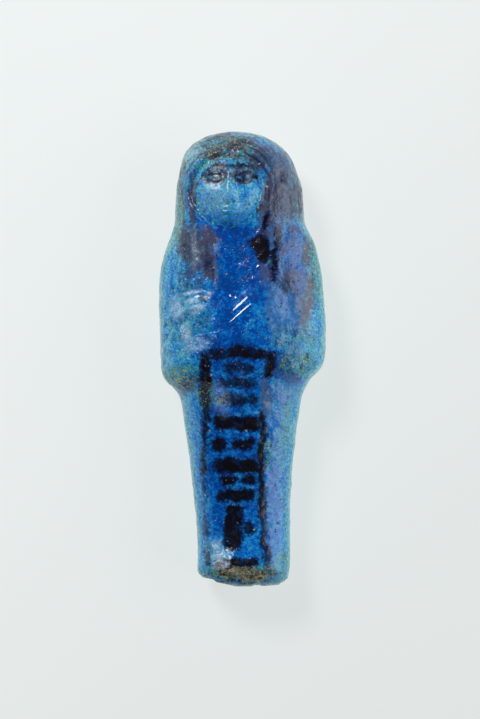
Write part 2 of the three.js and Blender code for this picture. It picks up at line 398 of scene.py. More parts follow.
def shapeSkin(piece):
    points, normals = readPoints(piece.data)
    x = points[:, 0] + boxMiddle["x"]
    up = points[:, 1] + boxMiddle["up"]
    front = softStep(normals[:, 2], 0.1, 0.55)
    reach = faceReach(x, up)
    inFace = 1 - softStep(reach, 0.9, 1.0)
    aboveChin = softStep(up, chinUp - 1, chinUp + 3)

    move = front * inFace * faceRelief(x, up)
    move += front * face["rimRise"] * hump(reach, 0.97, 0.07) * softStep(up, chinUp, chinUp + 2)
    move -= front * face["grooveDepth"] * hump(reach, 1.12, 0.1) * aboveChin * (x < faceX)
    move += front * (handRelief(x, up) + lappetRelief(x, up))

    calm = 1 - unevenness["calmFace"] * inFace * front
    calm *= 1 - front * gather(x, up, unevenness["calmSpots"], 0.5)
    for wavelength, rise, seed in unevenness["waves"]:
        move += calm * rise * ripple(points, wavelength, seed)
    lumpy = front * calm * gather(x, up, unevenness["roughSpots"], 0.5)
    for wavelength, rise, seed in unevenness["lumps"]:
        move += lumpy * rise * ripple(points, wavelength, seed)
    move += calm * pitField(points, normals)

    rough = front * softStep(patch(x, up, toes), 0, 0.4)
    layers = points * [0.5, 1.6, 1]  # they lie across the feet
    folds = ripple(layers, 1.6, 4) + 0.6 * ripple(points, 0.9, 5)
    move += rough * toes["roughness"] * (folds - toes["sink"])
    for chip in chips:
        bite = softStep(patch(x, up, chip), -0.05, 0.35)
        move -= chip["depth"] * bite * (1 + 0.2 * ripple(points, 1.3, 6))

    move[points[:, 2] < unevenness["restingBelow"]] = 0
    points = points + normals * move[:, None]
    low = np.array(cadBox[0]) / millimetre + unevenness["margin"]
    high = np.array(cadBox[1]) / millimetre - unevenness["margin"]
    low[2] = 0
    writePoints(piece.data, np.clip(points, low, high))


figure = makeSkin(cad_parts["ushabti_figure"])
print("fine skin made:", len(figure.data.vertices), "points")
shapeSkin(figure)
for polygon in figure.data.polygons:
    polygon.use_smooth = True
print("front modelled, surface made uneven")

# Where the glaze, the paint and the wear lie.
glaze = {
    "edgePool": 0.22,
    "frontPool": 0.65,
    "backPool": 0.42,
    "cloudy": 0.09,  # how much the back's glaze varies
    "rimWear": 0.55,
    "restWear": 0.95,  # where the figure lies
    "poolsAndShade": [  # more or less glaze; those in the creases under the elbows, along the crossed arms and under the chin are also painted shade
        {"x": -0.8, "up": 62.0, "wide": 6.5, "tall": 10.0, "more": 0.27},
        {"x": -1.0, "up": 48.5, "wide": 10.0, "tall": 6.0, "more": 0.2},
        {"x": -1.0, "up": 24.0, "wide": 6.0, "tall": 26.0, "more": 0.1},
        {"x": -4.6, "up": 26.0, "wide": 2.2, "tall": 20.0, "more": 0.14},
        {"x": -10.5, "up": 50.0, "wide": 5.0, "tall": 9.0, "more": -0.2},
        {"x": -12.5, "up": 66.0, "wide": 4.0, "tall": 8.0, "more": -0.14},
        {"x": 14.0, "up": 52.0, "wide": 3.0, "tall": 14.0, "more": -0.12},
        {"x": 7.8, "up": 54.5, "wide": 3.8, "tall": 5.2, "tilt": 20, "more": 0.12},
        {"x": -2.4, "up": 77.5, "wide": 7.5, "tall": 8.5, "more": -0.26},
        {"x": -8.5, "up": 84.5, "wide": 4.5, "tall": 4.0, "more": -0.25},
        {"x": -9.6, "up": 16.0, "wide": 2.2, "tall": 14.0, "more": 0.03},
        {"x": 9.4, "up": 20.0, "wide": 2.0, "tall": 18.0, "more": -0.12},
        {"x": -4.2, "up": 7.0, "wide": 3.2, "tall": 4.2, "more": -0.3},
        # painted shade in the creases under the elbows, with deeper glaze
        {"x": 8.8, "up": 41.9, "wide": 4.0, "tall": 1.2, "tilt": -24, "more": 0.5},
        {"x": -11.0, "up": 39.6, "wide": 3.6, "tall": 1.6, "tilt": 24, "more": 0.25},
        # painted shadow under the chin, with deeper glaze
        {"x": -3.4, "up": 69.6, "wide": 5.0, "tall": 1.3, "more": 0.3},
        {"x": -12.0, "up": 41.4, "wide": 4.0, "tall": 3.0, "tilt": 10, "more": 0.1},
        {"x": 9.6, "up": 43.4, "wide": 4.2, "tall": 2.6, "tilt": -14, "more": 0.12},
        {"x": 0.0, "up": 0.4, "wide": 11.0, "tall": 1.6, "more": 0.4},
        # painted shade along the crease between the crossed arms
        {"x": -3.5, "up": 55.0, "wide": 1.2, "tall": 2.6, "tilt": 48, "more": 0.4},
        {"x": 3.0, "up": 52.6, "wide": 2.6, "tall": 2.4, "more": -0.16},
        {"x": 7.2, "up": 44.6, "wide": 2.4, "tall": 2.0, "more": 0.35},
        {"x": 10.8, "up": 63.5, "wide": 3.0, "tall": 10.0, "more": 0.2},
        {"x": -2.2, "up": 71.8, "wide": 5.0, "tall": 2.6, "more": 0.14},
    ],
}

paint = {
    "sway": 0.15,  # mm that the brush wanders
    "swayFine": 0.05,
    "hem": 59.5,  # height of the wig's lower edge behind
    "hemWave": 1.1,
    "hemCurve": 0.012,  # lower towards the sides
    "behind": 0.52,  # how dark the wig is there
    "wigFrom": (57.5, 60.5),  # heights between which the strands begin
    "combedFrom": (68, 78),  # and those where they grow clear
    "wash": [  # thin black over the wig, and where it has run
        {"x": -1.0, "up": 87.0, "wide": 13.5, "tall": 3.8, "strength": 0.54},
        {"x": 8.2, "up": 83.6, "wide": 3.6, "tall": 3.2, "tilt": 40, "strength": 0.55},
        {"x": -2.0, "up": 85.2, "wide": 5.6, "tall": 2.6, "strength": 0.55},
        {"x": -1.3, "up": 86.4, "wide": 2.2, "tall": 1.0, "strength": 1.05},
        {"x": -5.2, "up": 85.2, "wide": 1.7, "tall": 1.5, "tilt": 30, "strength": 1.05},
        {"x": 4.0, "up": 84.2, "wide": 3.6, "tall": 2.0, "tilt": 38, "strength": 0.95},
        {"x": 6.8, "up": 79.0, "wide": 2.2, "tall": 8.0, "tilt": -12, "strength": 0.85},
        {"x": 10.4, "up": 78.5, "wide": 3.0, "tall": 9.0, "tilt": -14, "strength": 0.72},
        {"x": 5.6, "up": 75.4, "wide": 2.6, "tall": 4.6, "tilt": -4, "strength": 0.8},
        {"x": 5.6, "up": 69.6, "wide": 2.6, "tall": 3.4, "tilt": -4, "strength": 0.4},
        {"x": 6.2, "up": 64.5, "wide": 2.4, "tall": 8.0, "tilt": 4, "strength": 0.42},
        {"x": 9.6, "up": 69.0, "wide": 3.0, "tall": 9.0, "tilt": 8, "strength": 0.4},
        {"x": 12.7, "up": 56.2, "wide": 1.7, "tall": 6.0, "tilt": -6, "strength": 0.75, "soft": 0.9},
        {"x": 9.4, "up": 60.0, "wide": 3.2, "tall": 2.6, "tilt": -20, "strength": 0.62, "soft": 0.8},
        {"x": 12.8, "up": 66.0, "wide": 1.6, "tall": 3.4, "tilt": -14, "strength": 0.66, "soft": 0.9},
        {"x": -9.6, "up": 75.5, "wide": 0.9, "tall": 7.5, "tilt": -2, "strength": 0.66},
        {"x": -11.6, "up": 74.5, "wide": 1.8, "tall": 6.0, "tilt": -2, "strength": 0.35},
        {"x": -11.0, "up": 67.2, "wide": 1.6, "tall": 4.6, "tilt": 8, "strength": 0.8, "soft": 0.8},
        {"x": -7.0, "up": 68.0, "wide": 2.4, "tall": 3.4, "tilt": 8, "strength": 0.66},
        {"x": -6.5, "up": 63.6, "wide": 1.3, "tall": 3.2, "tilt": 5, "strength": 1.1, "soft": 0.8},
        {"x": -9.4, "up": 63.4, "wide": 2.6, "tall": 3.4, "tilt": 5, "strength": 0.5},
        {"x": -9.0, "up": 66.8, "wide": 2.8, "tall": 4.4, "tilt": 5, "strength": 0.8},
        {"x": -9.6, "up": 61.0, "wide": 3.0, "tall": 4.0, "strength": 0.45},
        {"x": -11.4, "up": 84.0, "wide": 2.6, "tall": 6.0, "tilt": -30, "strength": 0.4},
        {"x": -7.0, "up": 57.0, "wide": 1.3, "tall": 0.7, "strength": 0.7},
    ],
    "smudge": {"wide": 3.2, "tall": 2.1, "strength": 0.7},  # round each painted eye
    "smudgeRise": 0.3,
    "lidLine": 0.28,  # half its width
    "iris": 0.55,
    "eyeFade": 0.9,
    "eyeLine": {"start": 1.5, "toRim": 0.5, "rise": 0.05, "width": 0.5},  # from its outer corner
    "brows": {"rise": 2.0, "length": 4.6, "width": 0.55, "arch": 0.45},
    "drips": [  # thick black, each laid from one end to the other with a loaded brush
        {"start": (8.2, 59.6), "end": (11.0, 57.4), "width": 1.4, "fade": 0.2},
        {"start": (3.4, 67.7), "end": (4.4, 65.2), "width": 2.9},
        {"start": (5.0, 72.9), "end": (4.3, 70.3), "width": 0.75},
        {"start": (7.2, 70.4), "end": (6.9, 67.4), "width": 0.8},
        {"start": (6.6, 66.0), "end": (6.3, 62.6), "width": 1.0},
        {"start": (6.2, 61.4), "end": (6.1, 60.0), "width": 0.5},
        {"start": (8.1, 81.4), "end": (8.3, 79.6), "width": 0.4},
    ],
    "frame": [  # the painted column's
        {"start": (-6.2, 45.8), "end": (-1.6, 46.0), "width": 1.8, "fade": 0.8},
        {"start": (-1.6, 46.2), "end": (1.6, 46.3), "width": 2.3, "fade": 0.85},
        {"start": (1.6, 46.1), "end": (4.2, 45.9), "width": 1.8, "fade": 0.85},
        {"start": (-7.1, 45.2), "end": (-7.0, 39.5), "width": 1.8},
        {"start": (-7.0, 39.5), "end": (-7.0, 33.5), "width": 1.4, "fade": 0.8},
        {"start": (-7.2, 33.5), "end": (-7.4, 22.5), "width": 0.85, "fade": 0.85},
        {"start": (-7.4, 22.5), "end": (-7.3, 18.5), "width": 0.55, "fade": 0.6},
        {"start": (-7.3, 18.5), "end": (-7.0, 13.5), "width": 0.4, "fade": 0.35},
        {"start": (-7.0, 13.0), "end": (-6.9, 10.5), "width": 1.0, "fade": 0.5},
        {"start": (-6.9, 10.5), "end": (-6.6, 7.5), "width": 0.4, "fade": 0.35},
        {"start": (-6.6, 7.0), "end": (-6.4, 5.2), "width": 1.0, "fade": 0.6},
        {"start": (5.8, 45.4), "end": (5.3, 41.8), "width": 1.6},
        {"start": (5.3, 41.8), "end": (4.5, 34.5), "width": 1.0, "fade": 0.12},
        {"start": (4.3, 34.5), "end": (3.9, 23.0), "width": 1.1},
        {"start": (3.9, 23.0), "end": (4.2, 13.5), "width": 1.1},
        {"start": (4.2, 13.5), "end": (4.9, 5.8), "width": 1.2, "fade": 0.75},
        {"start": (4.9, 5.8), "end": (5.8, 3.0), "width": 0.8, "fade": 0.5},
    ],
    "rows": [  # plain bars, dabs and dots in it
        {"start": (-2.6, 43.3), "end": (1.6, 43.1), "width": 1.6, "fade": 0.72},
        {"start": (-3.6, 40.6), "end": (2.0, 40.3), "width": 1.6, "fade": 0.72},
        {"start": (-3.2, 37.4), "end": (0.4, 37.0), "width": 1.9, "fade": 0.75},
        {"start": (2.1, 37.0), "end": (2.4, 36.8), "width": 2.0, "fade": 0.8},
        {"start": (-4.2, 32.6), "end": (2.3, 32.2), "width": 2.7},
        {"start": (-4.6, 28.4), "end": (-4.4, 28.2), "width": 2.5},
        {"start": (-0.9, 28.5), "end": (1.4, 28.2), "width": 2.0},
        {"start": (-4.3, 24.2), "end": (2.2, 24.0), "width": 2.7},
        {"start": (-3.2, 21.3), "end": (-1.8, 21.2), "width": 1.7},
        {"start": (0.8, 21.4), "end": (1.9, 21.3), "width": 1.7},
        {"start": (-4.0, 18.0), "end": (1.6, 18.4), "width": 2.0},
        {"start": (-1.4, 14.7), "end": (-1.7, 9.0), "width": 3.3, "fade": 0.95},
        {"start": (1.2, 11.9), "end": (1.5, 11.3), "width": 1.8, "fade": 0.85},
        {"start": (-4.2, 4.9), "end": (2.6, 5.2), "width": 1.7, "fade": 0.9},
    ],
}

ageing = {
    "worn": [  # thin, rubbed glaze
        {"x": -12.8, "up": 41.0, "wide": 4.6, "tall": 3.0, "tilt": 10, "strength": 1.0},
        {"x": 10.6, "up": 44.2, "wide": 3.6, "tall": 2.8, "tilt": -10, "strength": 0.85},
        {"x": 12.6, "up": 48.5, "wide": 2.6, "tall": 4.0, "strength": 0.5},
        {"x": 9.0, "up": 49.0, "wide": 3.4, "tall": 2.4, "strength": 0.7},
        {"x": -6.9, "up": 38.6, "wide": 1.4, "tall": 3.6, "strength": 0.9},
        {"x": 14.3, "up": 63.5, "wide": 2.0, "tall": 7.5, "tilt": 10, "strength": 0.8},
        {"x": -4.5, "up": 36.9, "wide": 1.4, "tall": 1.0, "strength": 0.8},
        {"x": -2.4, "up": 86.0, "wide": 6.0, "tall": 3.0, "strength": 0.7},
        {"x": -7.6, "up": 82.3, "wide": 1.2, "tall": 0.9, "strength": 0.9},
        {"x": -13.0, "up": 76.0, "wide": 1.9, "tall": 7.5, "strength": 0.85},
        {"x": -10.5, "up": 53.0, "wide": 4.5, "tall": 6.0, "strength": 0.25},
        {"x": 8.8, "up": 32.0, "wide": 1.0, "tall": 7.0, "tilt": -6, "strength": 0.6},
        {"x": 5.0, "up": 26.5, "wide": 1.6, "tall": 2.6, "strength": 0.7},
        {"x": 0.0, "up": 2.2, "wide": 9.0, "tall": 3.2, "strength": 0.8},
        {"x": 8.4, "up": 3.6, "wide": 2.4, "tall": 3.6, "strength": 0.7},
        {"x": 0.0, "up": 0.4, "wide": 12.0, "tall": 1.4, "strength": 1.0},
    ],
    "crust": [  # crumbled paste at the toes
        {"x": 0.2, "up": 2.9, "wide": 5.6, "tall": 1.5, "tilt": -4, "strength": 1.0},
        {"x": -4.2, "up": 4.4, "wide": 1.8, "tall": 0.8, "strength": 0.8},
        {"x": 5.6, "up": 3.4, "wide": 1.2, "tall": 1.6, "tilt": 20, "strength": 0.6},
    ],
    "bloomAndHighlight": [  # a whitish veil: bloom at the toes and in the column, and painted highlights on the crown, the left arm, the fist and the left lappet
        {"x": -4.2, "up": 4.6, "wide": 1.7, "tall": 1.0, "tilt": 8, "strength": 1.0, "soft": 0.25},
        {"x": -4.9, "up": 7.6, "wide": 1.2, "tall": 1.7, "tilt": 14, "strength": 0.75},
        {"x": -4.0, "up": 37.2, "wide": 1.5, "tall": 3.0, "tilt": 10, "strength": 0.3},
        {"x": -5.4, "up": 76.4, "wide": 2.8, "tall": 3.2, "tilt": 10, "strength": 0.28},
        # painted highlight on the crown
        {"x": -9.6, "up": 85.0, "wide": 2.0, "tall": 1.6, "tilt": 40, "strength": 0.3},
        # from here to the fist: painted highlights on the left arm and the fist's arch
        {"x": -12.6, "up": 54.4, "wide": 1.3, "tall": 2.0, "tilt": 20, "strength": 0.75},
        {"x": -13.0, "up": 57.2, "wide": 0.8, "tall": 1.2, "tilt": 20, "strength": 0.3},
        {"x": -10.9, "up": 49.9, "wide": 1.0, "tall": 1.9, "tilt": 10, "strength": 0.75},
        {"x": -8.6, "up": 54.6, "wide": 1.6, "tall": 0.9, "tilt": 20, "strength": 0.65},
        {"x": -8.8, "up": 47.6, "wide": 2.6, "tall": 1.1, "tilt": 20, "strength": 0.5},
        {"x": -9.8, "up": 57.9, "wide": 2.0, "tall": 0.45, "tilt": 12, "strength": 0.85},
        {"x": -6.3, "up": 57.5, "wide": 1.0, "tall": 0.6, "tilt": 20, "strength": 0.9},
        {"x": -9.6, "up": 56.3, "wide": 1.3, "tall": 0.6, "strength": 0.75},
        # painted highlight streak down the left lappet
        {"x": -9.1, "up": 66.4, "wide": 0.6, "tall": 3.4, "tilt": 4, "strength": 0.5, "soft": 0.8},
    ],
    "paintedSheen": [  # the right-hand light's sheen, painted as a smooth lilac-blue veil
        {"x": 8.3, "up": 55.4, "wide": 3.7, "tall": 4.4, "tilt": 20, "strength": 0.64},
        {"x": 6.9, "up": 52.6, "wide": 2.1, "tall": 3.0, "tilt": 4, "strength": 0.64},
        {"x": 10.4, "up": 46.6, "wide": 1.7, "tall": 2.2, "tilt": 14, "strength": 0.4},
        {"x": 8.6, "up": 38.6, "wide": 3.2, "tall": 3.0, "tilt": -26, "strength": 0.52, "soft": 0.3},
        {"x": 4.9, "up": 37.6, "wide": 1.1, "tall": 3.6, "tilt": 6, "strength": 0.55},
        {"x": 7.2, "up": 22.0, "wide": 2.6, "tall": 20.0, "strength": 0.3, "soft": 0.6},
        {"x": 8.4, "up": 83.4, "wide": 4.0, "tall": 4.0, "tilt": 40, "strength": 0.45, "soft": 0.8},
        {"x": -5.0, "up": 61.4, "wide": 0.5, "tall": 2.6, "tilt": 4, "strength": 0.5, "soft": 0.4},
        {"x": 9.8, "up": 66.5, "wide": 3.2, "tall": 8.5, "tilt": 8, "strength": 0.28, "soft": 0.6},
    ],
    "hazeAndSheen": [  # a brownish veil, partly a stain and partly painted sheen, as over the black line at the hip and on the lappets
        {"x": 12.4, "up": 57.0, "wide": 1.7, "tall": 7.0, "tilt": -6, "strength": 0.25, "soft": 0.7},
        {"x": 5.4, "up": 66.6, "wide": 2.7, "tall": 7.6, "tilt": 2, "strength": 0.75, "soft": 0.3},
        {"x": 8.4, "up": 61.4, "wide": 3.6, "tall": 1.8, "tilt": -20, "strength": 0.55, "soft": 0.5},
        # painted highlight on the left lappet
        {"x": -6.6, "up": 67.0, "wide": 1.4, "tall": 2.6, "tilt": 4, "strength": 0.4, "soft": 0.5},
        {"x": -11.6, "up": 77.5, "wide": 1.5, "tall": 6.0, "tilt": -6, "strength": 0.3, "soft": 0.5},
        # painted sheen over the column's black line
        {"x": 4.8, "up": 37.4, "wide": 1.0, "tall": 4.2, "tilt": 6, "strength": 0.85, "soft": 0.3},
        {"x": 6.6, "up": 79.0, "wide": 2.0, "tall": 6.0, "tilt": -14, "strength": 0.4, "soft": 0.5},
    ],
}


def layMap(piece, name, values):
    layer = piece.data.attributes.new(name, "FLOAT", "POINT")
    layer.data.foreach_set("value", values.astype(np.float32))


def layShare(piece, name, values):
    layMap(piece, name, np.clip(values, 0, 1))


def strokesLaid(x, up, strokes):
    # depth inside the nearest stroke, and that stroke's strength
    depth = np.full(len(x), -3.0)
    fade = np.zeros(len(x))
    for stroke in strokes:
        inside = strokeDepth(x, up, stroke["start"], stroke["end"], stroke["width"])
        nearer = inside > depth
        depth[nearer] = inside[nearer]
        fade[nearer] = stroke.get("fade", 1.0)
    return depth, fade


def eyePaint(x, up):
    # almond outlines with a cosmetic line at the outer corner, and brows
    aside, lift, run = eyeShape(x, up)
    halfOpening = face["eyeOpening"] / 2
    offLid = np.abs(np.abs(lift) - 1) * halfOpening * np.maximum(run, 0.12)
    lid = paint["lidLine"] - offLid - 0.5 * (run <= 0)
    iris = paint["iris"] - np.hypot(aside, up - face["eyes"])
    eyeLine = paint["eyeLine"]
    start = (face["eyeAside"] + eyeLine["start"], face["eyes"])
    end = (face["halfWidth"] - eyeLine["toRim"], face["eyes"] + eyeLine["rise"])
    line = strokeDepth(np.abs(x - faceX), up, start, end, eyeLine["width"])
    brows = paint["brows"]
    halfBrow = brows["length"] / 2
    browUp = face["eyes"] + brows["rise"] + brows["arch"] * hump(aside, 0.2, halfBrow)
    pastEnd = np.maximum(np.abs(aside) - halfBrow, 0)
    brow = brows["width"] / 2 - np.abs(up - browUp) - 0.8 * pastEnd
    return np.maximum.reduce([lid, iris, line, brow])


def mapSkin(piece):
    points, normals = readPoints(piece.data)
    x = points[:, 0] + boxMiddle["x"]
    up = points[:, 1] + boxMiddle["up"]
    level = points[:, 2]
    facing = np.clip(normals[:, 2], -1, 1)
    front = softStep(facing, -0.05, 0.35)
    behind = softStep(-facing, -0.1, 0.4)
    reach = faceReach(x, up)
    inFace = front * (1 - softStep(reach, 0.93, 1.0))
    # a brush never runs quite straight, so the paint is looked up a little aside
    sway = paint["sway"]
    fine = paint["swayFine"]
    swayX = x + sway * ripple(points, 3.4, 21) + fine * ripple(points, 1.3, 22)
    swayUp = up + sway * ripple(points, 3.4, 23) + fine * ripple(points, 1.3, 24)

    pool = glaze["edgePool"] + (glaze["frontPool"] - glaze["edgePool"]) * softStep(facing, 0.15, 0.95)
    for spot in glaze["poolsAndShade"]:
        pool += front * spot["more"] * softStep(patch(swayX, swayUp, spot), -0.25, 0.5)
    cloudy = glaze["cloudy"] * (ripple(points, 11, 31) + 0.6 * ripple(points, 4.5, 32))
    pool += behind * (glaze["backPool"] + cloudy - pool)
    layShare(piece, "pool", pool)

    hair = front * gather(swayX, swayUp, paint["wash"], 0.45) * (1 - inFace)
    hem = paint["hem"] + paint["hemWave"] * ripple(points, 5, 33) - paint["hemCurve"] * x ** 2
    atBack = behind * softStep(up, hem, hem + 6) * (paint["behind"] + 0.08 * ripple(points, 8, 34))
    besideEye = {"x": face["eyeAside"], "up": face["eyes"] + paint["smudgeRise"], **paint["smudge"]}
    offEye = softStep(eyeShape(x, up)[1] ** 2, 0.6, 1.0)
    smeared = inFace * offEye * gather(np.abs(swayX - faceX), swayUp, [besideEye], 0.5)
    layShare(piece, "wash", np.maximum.reduce([hair, atBack, smeared]))

    ink, fade = strokesLaid(swayX, swayUp, paint["frame"] + paint["rows"] + paint["drips"])
    eyes = np.where(inFace > 0.5, eyePaint(x, up), -3)
    fade = np.where(eyes > ink, paint["eyeFade"], fade)
    ink = np.where(front > 0.5, np.maximum(ink, eyes), -3)
    layMap(piece, "ink", np.clip(ink, -2, 2))
    layMap(piece, "inkFade", fade)

    # combed strands run round the face above it, and straight down beside and below it
    middle = (face["top"] + chinUp) / 2
    beside = np.abs(x - faceX) - face["halfWidth"]
    strand = np.where(up > middle, (reach - 1) * face["halfWidth"], beside)
    combedTop = softStep(up, *paint["combedFrom"]) * np.where(x > faceX, 1, 0.7)
    inWig = softStep(up, *paint["wigFrom"]) * (1 - inFace) * np.maximum(combedTop, 0.3)
    layMap(piece, "strand", strand)
    layMap(piece, "wig", inWig * np.where(facing > -0.2, 1, 0.4))

    # glaze runs thin at the rims, and is rubbed off where the figure lies
    rim = glaze["rimWear"] * (1 - softStep(facing, 0.1, 0.75))
    rubbed = glaze["restWear"] * (1 - softStep(level, 0.05, 0.8))
    rubbed *= softStep(ripple(points, 3, 35), -0.6, 1.0)
    worn = front * gather(swayX, swayUp, ageing["worn"], 0.4)
    layShare(piece, "wear", np.maximum.reduce([rim, rubbed, worn]))
    # the crust is crumbled paste; the bloom map also holds painted highlights, and the sheen map is
    # painted sheen
    for name, soft in (("crust", 0.3), ("bloomAndHighlight", 0.5), ("paintedSheen", 0.12)):
        layShare(piece, name, front * gather(swayX, swayUp, ageing[name], soft))
    layShare(piece, "hazeAndSheen", front * (1 - inFace) * gather(swayX, swayUp, ageing["hazeAndSheen"], 0.4))

    layShare(piece, "painted", inFace)
    calm = gather(x, up, unevenness["calmSpots"], 0.5)
    layShare(piece, "calm", front * calm)
    layShare(piece, "rough", front * (1 - calm) * gather(swayX, swayUp, unevenness["roughSpots"], 0.5))


mapSkin(figure)
print("paint, glaze and wear laid out")

# The materials.


def srgb(red, green, blue):
    # a tone as a paint chart gives it, 0 to 255, to the linear values that a shader takes
    values = []
    for part in (red, green, blue):
        share = part / 255
        values.append(share / 12.92 if share <= 0.04045 else ((share + 0.055) / 1.055) ** 2.4)
    return (*values, 1)


class Shop:
    # a bench for putting one material's nodes together
    def __init__(self, name):
        self.material = bpy.data.materials.new(name)
        self.material.use_nodes = True
        self.tree = self.material.node_tree
        self.shader = self.tree.nodes["Principled BSDF"]
        self.count = 0

    def add(self, kind, **settings):
        node = self.tree.nodes.new(kind)
        node.location = (-220 * (1 + self.count // 6), -200 * (self.count % 6))
        self.count += 1
        for key, value in settings.items():
            setattr(node, key, value)
        return node

    def feed(self, value, socket):
        if hasattr(value, "is_output"):
            self.tree.links.new(value, socket)
        else:
            socket.default_value = value

    def field(self, name):
        return self.add("ShaderNodeAttribute", attribute_name=name).outputs["Fac"]

    def math(self, operation, *values, clamp=False):
        node = self.add("ShaderNodeMath", operation=operation, use_clamp=clamp)
        for value, socket in zip(values, node.inputs):
            self.feed(value, socket)
        return node.outputs[0]

    def times(self, first, second):
        return self.math("MULTIPLY", first, second)

    def most(self, first, *others):
        for other in others:
            first = self.math("MAXIMUM", first, other)
        return first

    def stir(self, value, noise, amount, clamp=False):
        # adds noise round 0, that much from end to end
        swing = self.math("MULTIPLY_ADD", noise, amount, -amount / 2)
        return self.math("ADD", value, swing, clamp=clamp)

    def ramp(self, value, low, high, out=(0.0, 1.0)):
        node = self.add("ShaderNodeMapRange", interpolation_type="SMOOTHSTEP")
        sockets = ("Value", "From Min", "From Max", "To Min", "To Max")
        for key, number in zip(sockets, (value, low, high, *out)):
            self.feed(number, node.inputs[key])
        return node.outputs[0]

    def colours(self, value, stops):
        node = self.add("ShaderNodeValToRGB")
        bar = node.color_ramp
        bar.interpolation = "B_SPLINE"
        while len(bar.elements) < len(stops):
            bar.elements.new(0.5)
        for element, (place, tone) in zip(bar.elements, stops):
            element.position = place
            element.color = tone
        self.feed(value, node.inputs[0])
        return node.outputs[0]

    def mix(self, share, under, over, blend="MIX"):
        node = self.add("ShaderNodeMix", data_type="RGBA", blend_type=blend)
        self.feed(share, node.inputs[0])
        self.feed(under, node.inputs[6])
        self.feed(over, node.inputs[7])
        return node.outputs[2]

    def noise(self, place, scale, detail, rough, warp):
        node = self.add("ShaderNodeTexNoise")
        self.feed(place, node.inputs["Vector"])
        node.inputs["Scale"].default_value = scale
        node.inputs["Detail"].default_value = detail
        node.inputs["Roughness"].default_value = rough
        node.inputs["Distortion"].default_value = warp
        return node.outputs["Fac"]

    def holes(self, place, scale, share, rim):
        # round holes, in that share of the cells, each with a soft rim
        node = self.add("ShaderNodeTexVoronoi")
        self.feed(place, node.inputs["Vector"])
        node.inputs["Scale"].default_value = scale
        parts = self.add("ShaderNodeSeparateColor")
        self.tree.links.new(node.outputs["Color"], parts.inputs[0])
        picked = self.math("LESS_THAN", parts.outputs[0], share)
        return self.times(self.ramp(node.outputs["Distance"], *rim, (1.0, 0.0)), picked)

    def bump(self, height, strength, distance, below=None):
        node = self.add("ShaderNodeBump")
        node.inputs["Strength"].default_value = strength
        node.inputs["Distance"].default_value = distance
        self.feed(height, node.inputs["Height"])
        if below is not None:
            self.tree.links.new(below, node.inputs["Normal"])
        return node.outputs[0]


blueGlaze = {
    "tones": [  # from thin glaze to a deep pool
        (0.00, srgb(122, 190, 188)),
        (0.20, srgb(80, 174, 200)),
        (0.42, srgb(38, 156, 220)),
        (0.60, srgb(12, 126, 216)),
        (0.80, srgb(4, 98, 198)),
        (1.00, srgb(2, 62, 152)),
    ],
    "green": srgb(62, 156, 152),
    "greenDeep": srgb(20, 92, 100),
    "paste": srgb(184, 176, 104),  # the bare body
    "pasteDark": srgb(112, 98, 50),
    "bubble": srgb(178, 206, 208),
    "pinhole": srgb(8, 34, 78),
    # tone of the bloom, and of the painted highlights
    "bloomAndHighlight": srgb(198, 220, 246),
    # tone of the painted sheen
    "paintedSheen": srgb(82, 134, 180),
    # brownish stain, and painted sheen
    "hazeAndSheen": srgb(88, 84, 100),
    "gloss": 0.13,
    "matt": 0.5,
    "refraction": 1.5,
}

blackPaint = {
    "thick": srgb(14, 13, 20),
    "brown": srgb(32, 28, 30),
    "drowned": srgb(10, 30, 88),  # its edge, under blue glaze
    "thin": srgb(80, 74, 86),
    "thinDark": srgb(34, 34, 52),
    "strand": srgb(26, 32, 52),
}

toeCrust = [
    (0.42, srgb(14, 16, 20)),
    (0.48, srgb(34, 40, 42)),
    (0.53, srgb(238, 208, 124)),
    (0.57, srgb(112, 90, 44)),
    (0.63, srgb(52, 124, 134)),
]

noises = {  # scale to the millimetre, detail, roughness, warp
    "grain": (3.0, 2.0, 0.7, 0.0),
    "flecks": (2.5, 2.0, 0.6, 0.4),
    "quartz": (2.0, 2.0, 0.75, 0.3),
    "speck": (1.5, 2.0, 0.65, 0.4),
    "kinds": (1.1, 1.0, 0.5, 0.0),
    "hue": (0.85, 2.0, 0.6, 0.5),
    "mottle": (0.62, 3.0, 0.62, 0.8),
    "cloud": (0.2, 2.0, 0.5, 0.6),
    "strands": (1.3, 2.0, 0.6, 0.25),
    "curls": (0.8, 2.0, 0.55, 2.2),
    "layers": (1.9, 2.0, 0.7, 0.5),
}

cover = {  # how fully each hides what is under it
    "wash": 0.88,
    "strand": 0.75,
    "drowned": 0.85,
    "fleck": 0.8,
    "pinhole": 0.75,
    "crust": 0.9,
}

bumps = {  # strength, and height in metres
    "strands": (0.8, 0.0002),
    "mottle": (0.6, 0.0002),
    "speck": (0.6, 0.00013),
    "curls": (0.45, 0.0003),
}


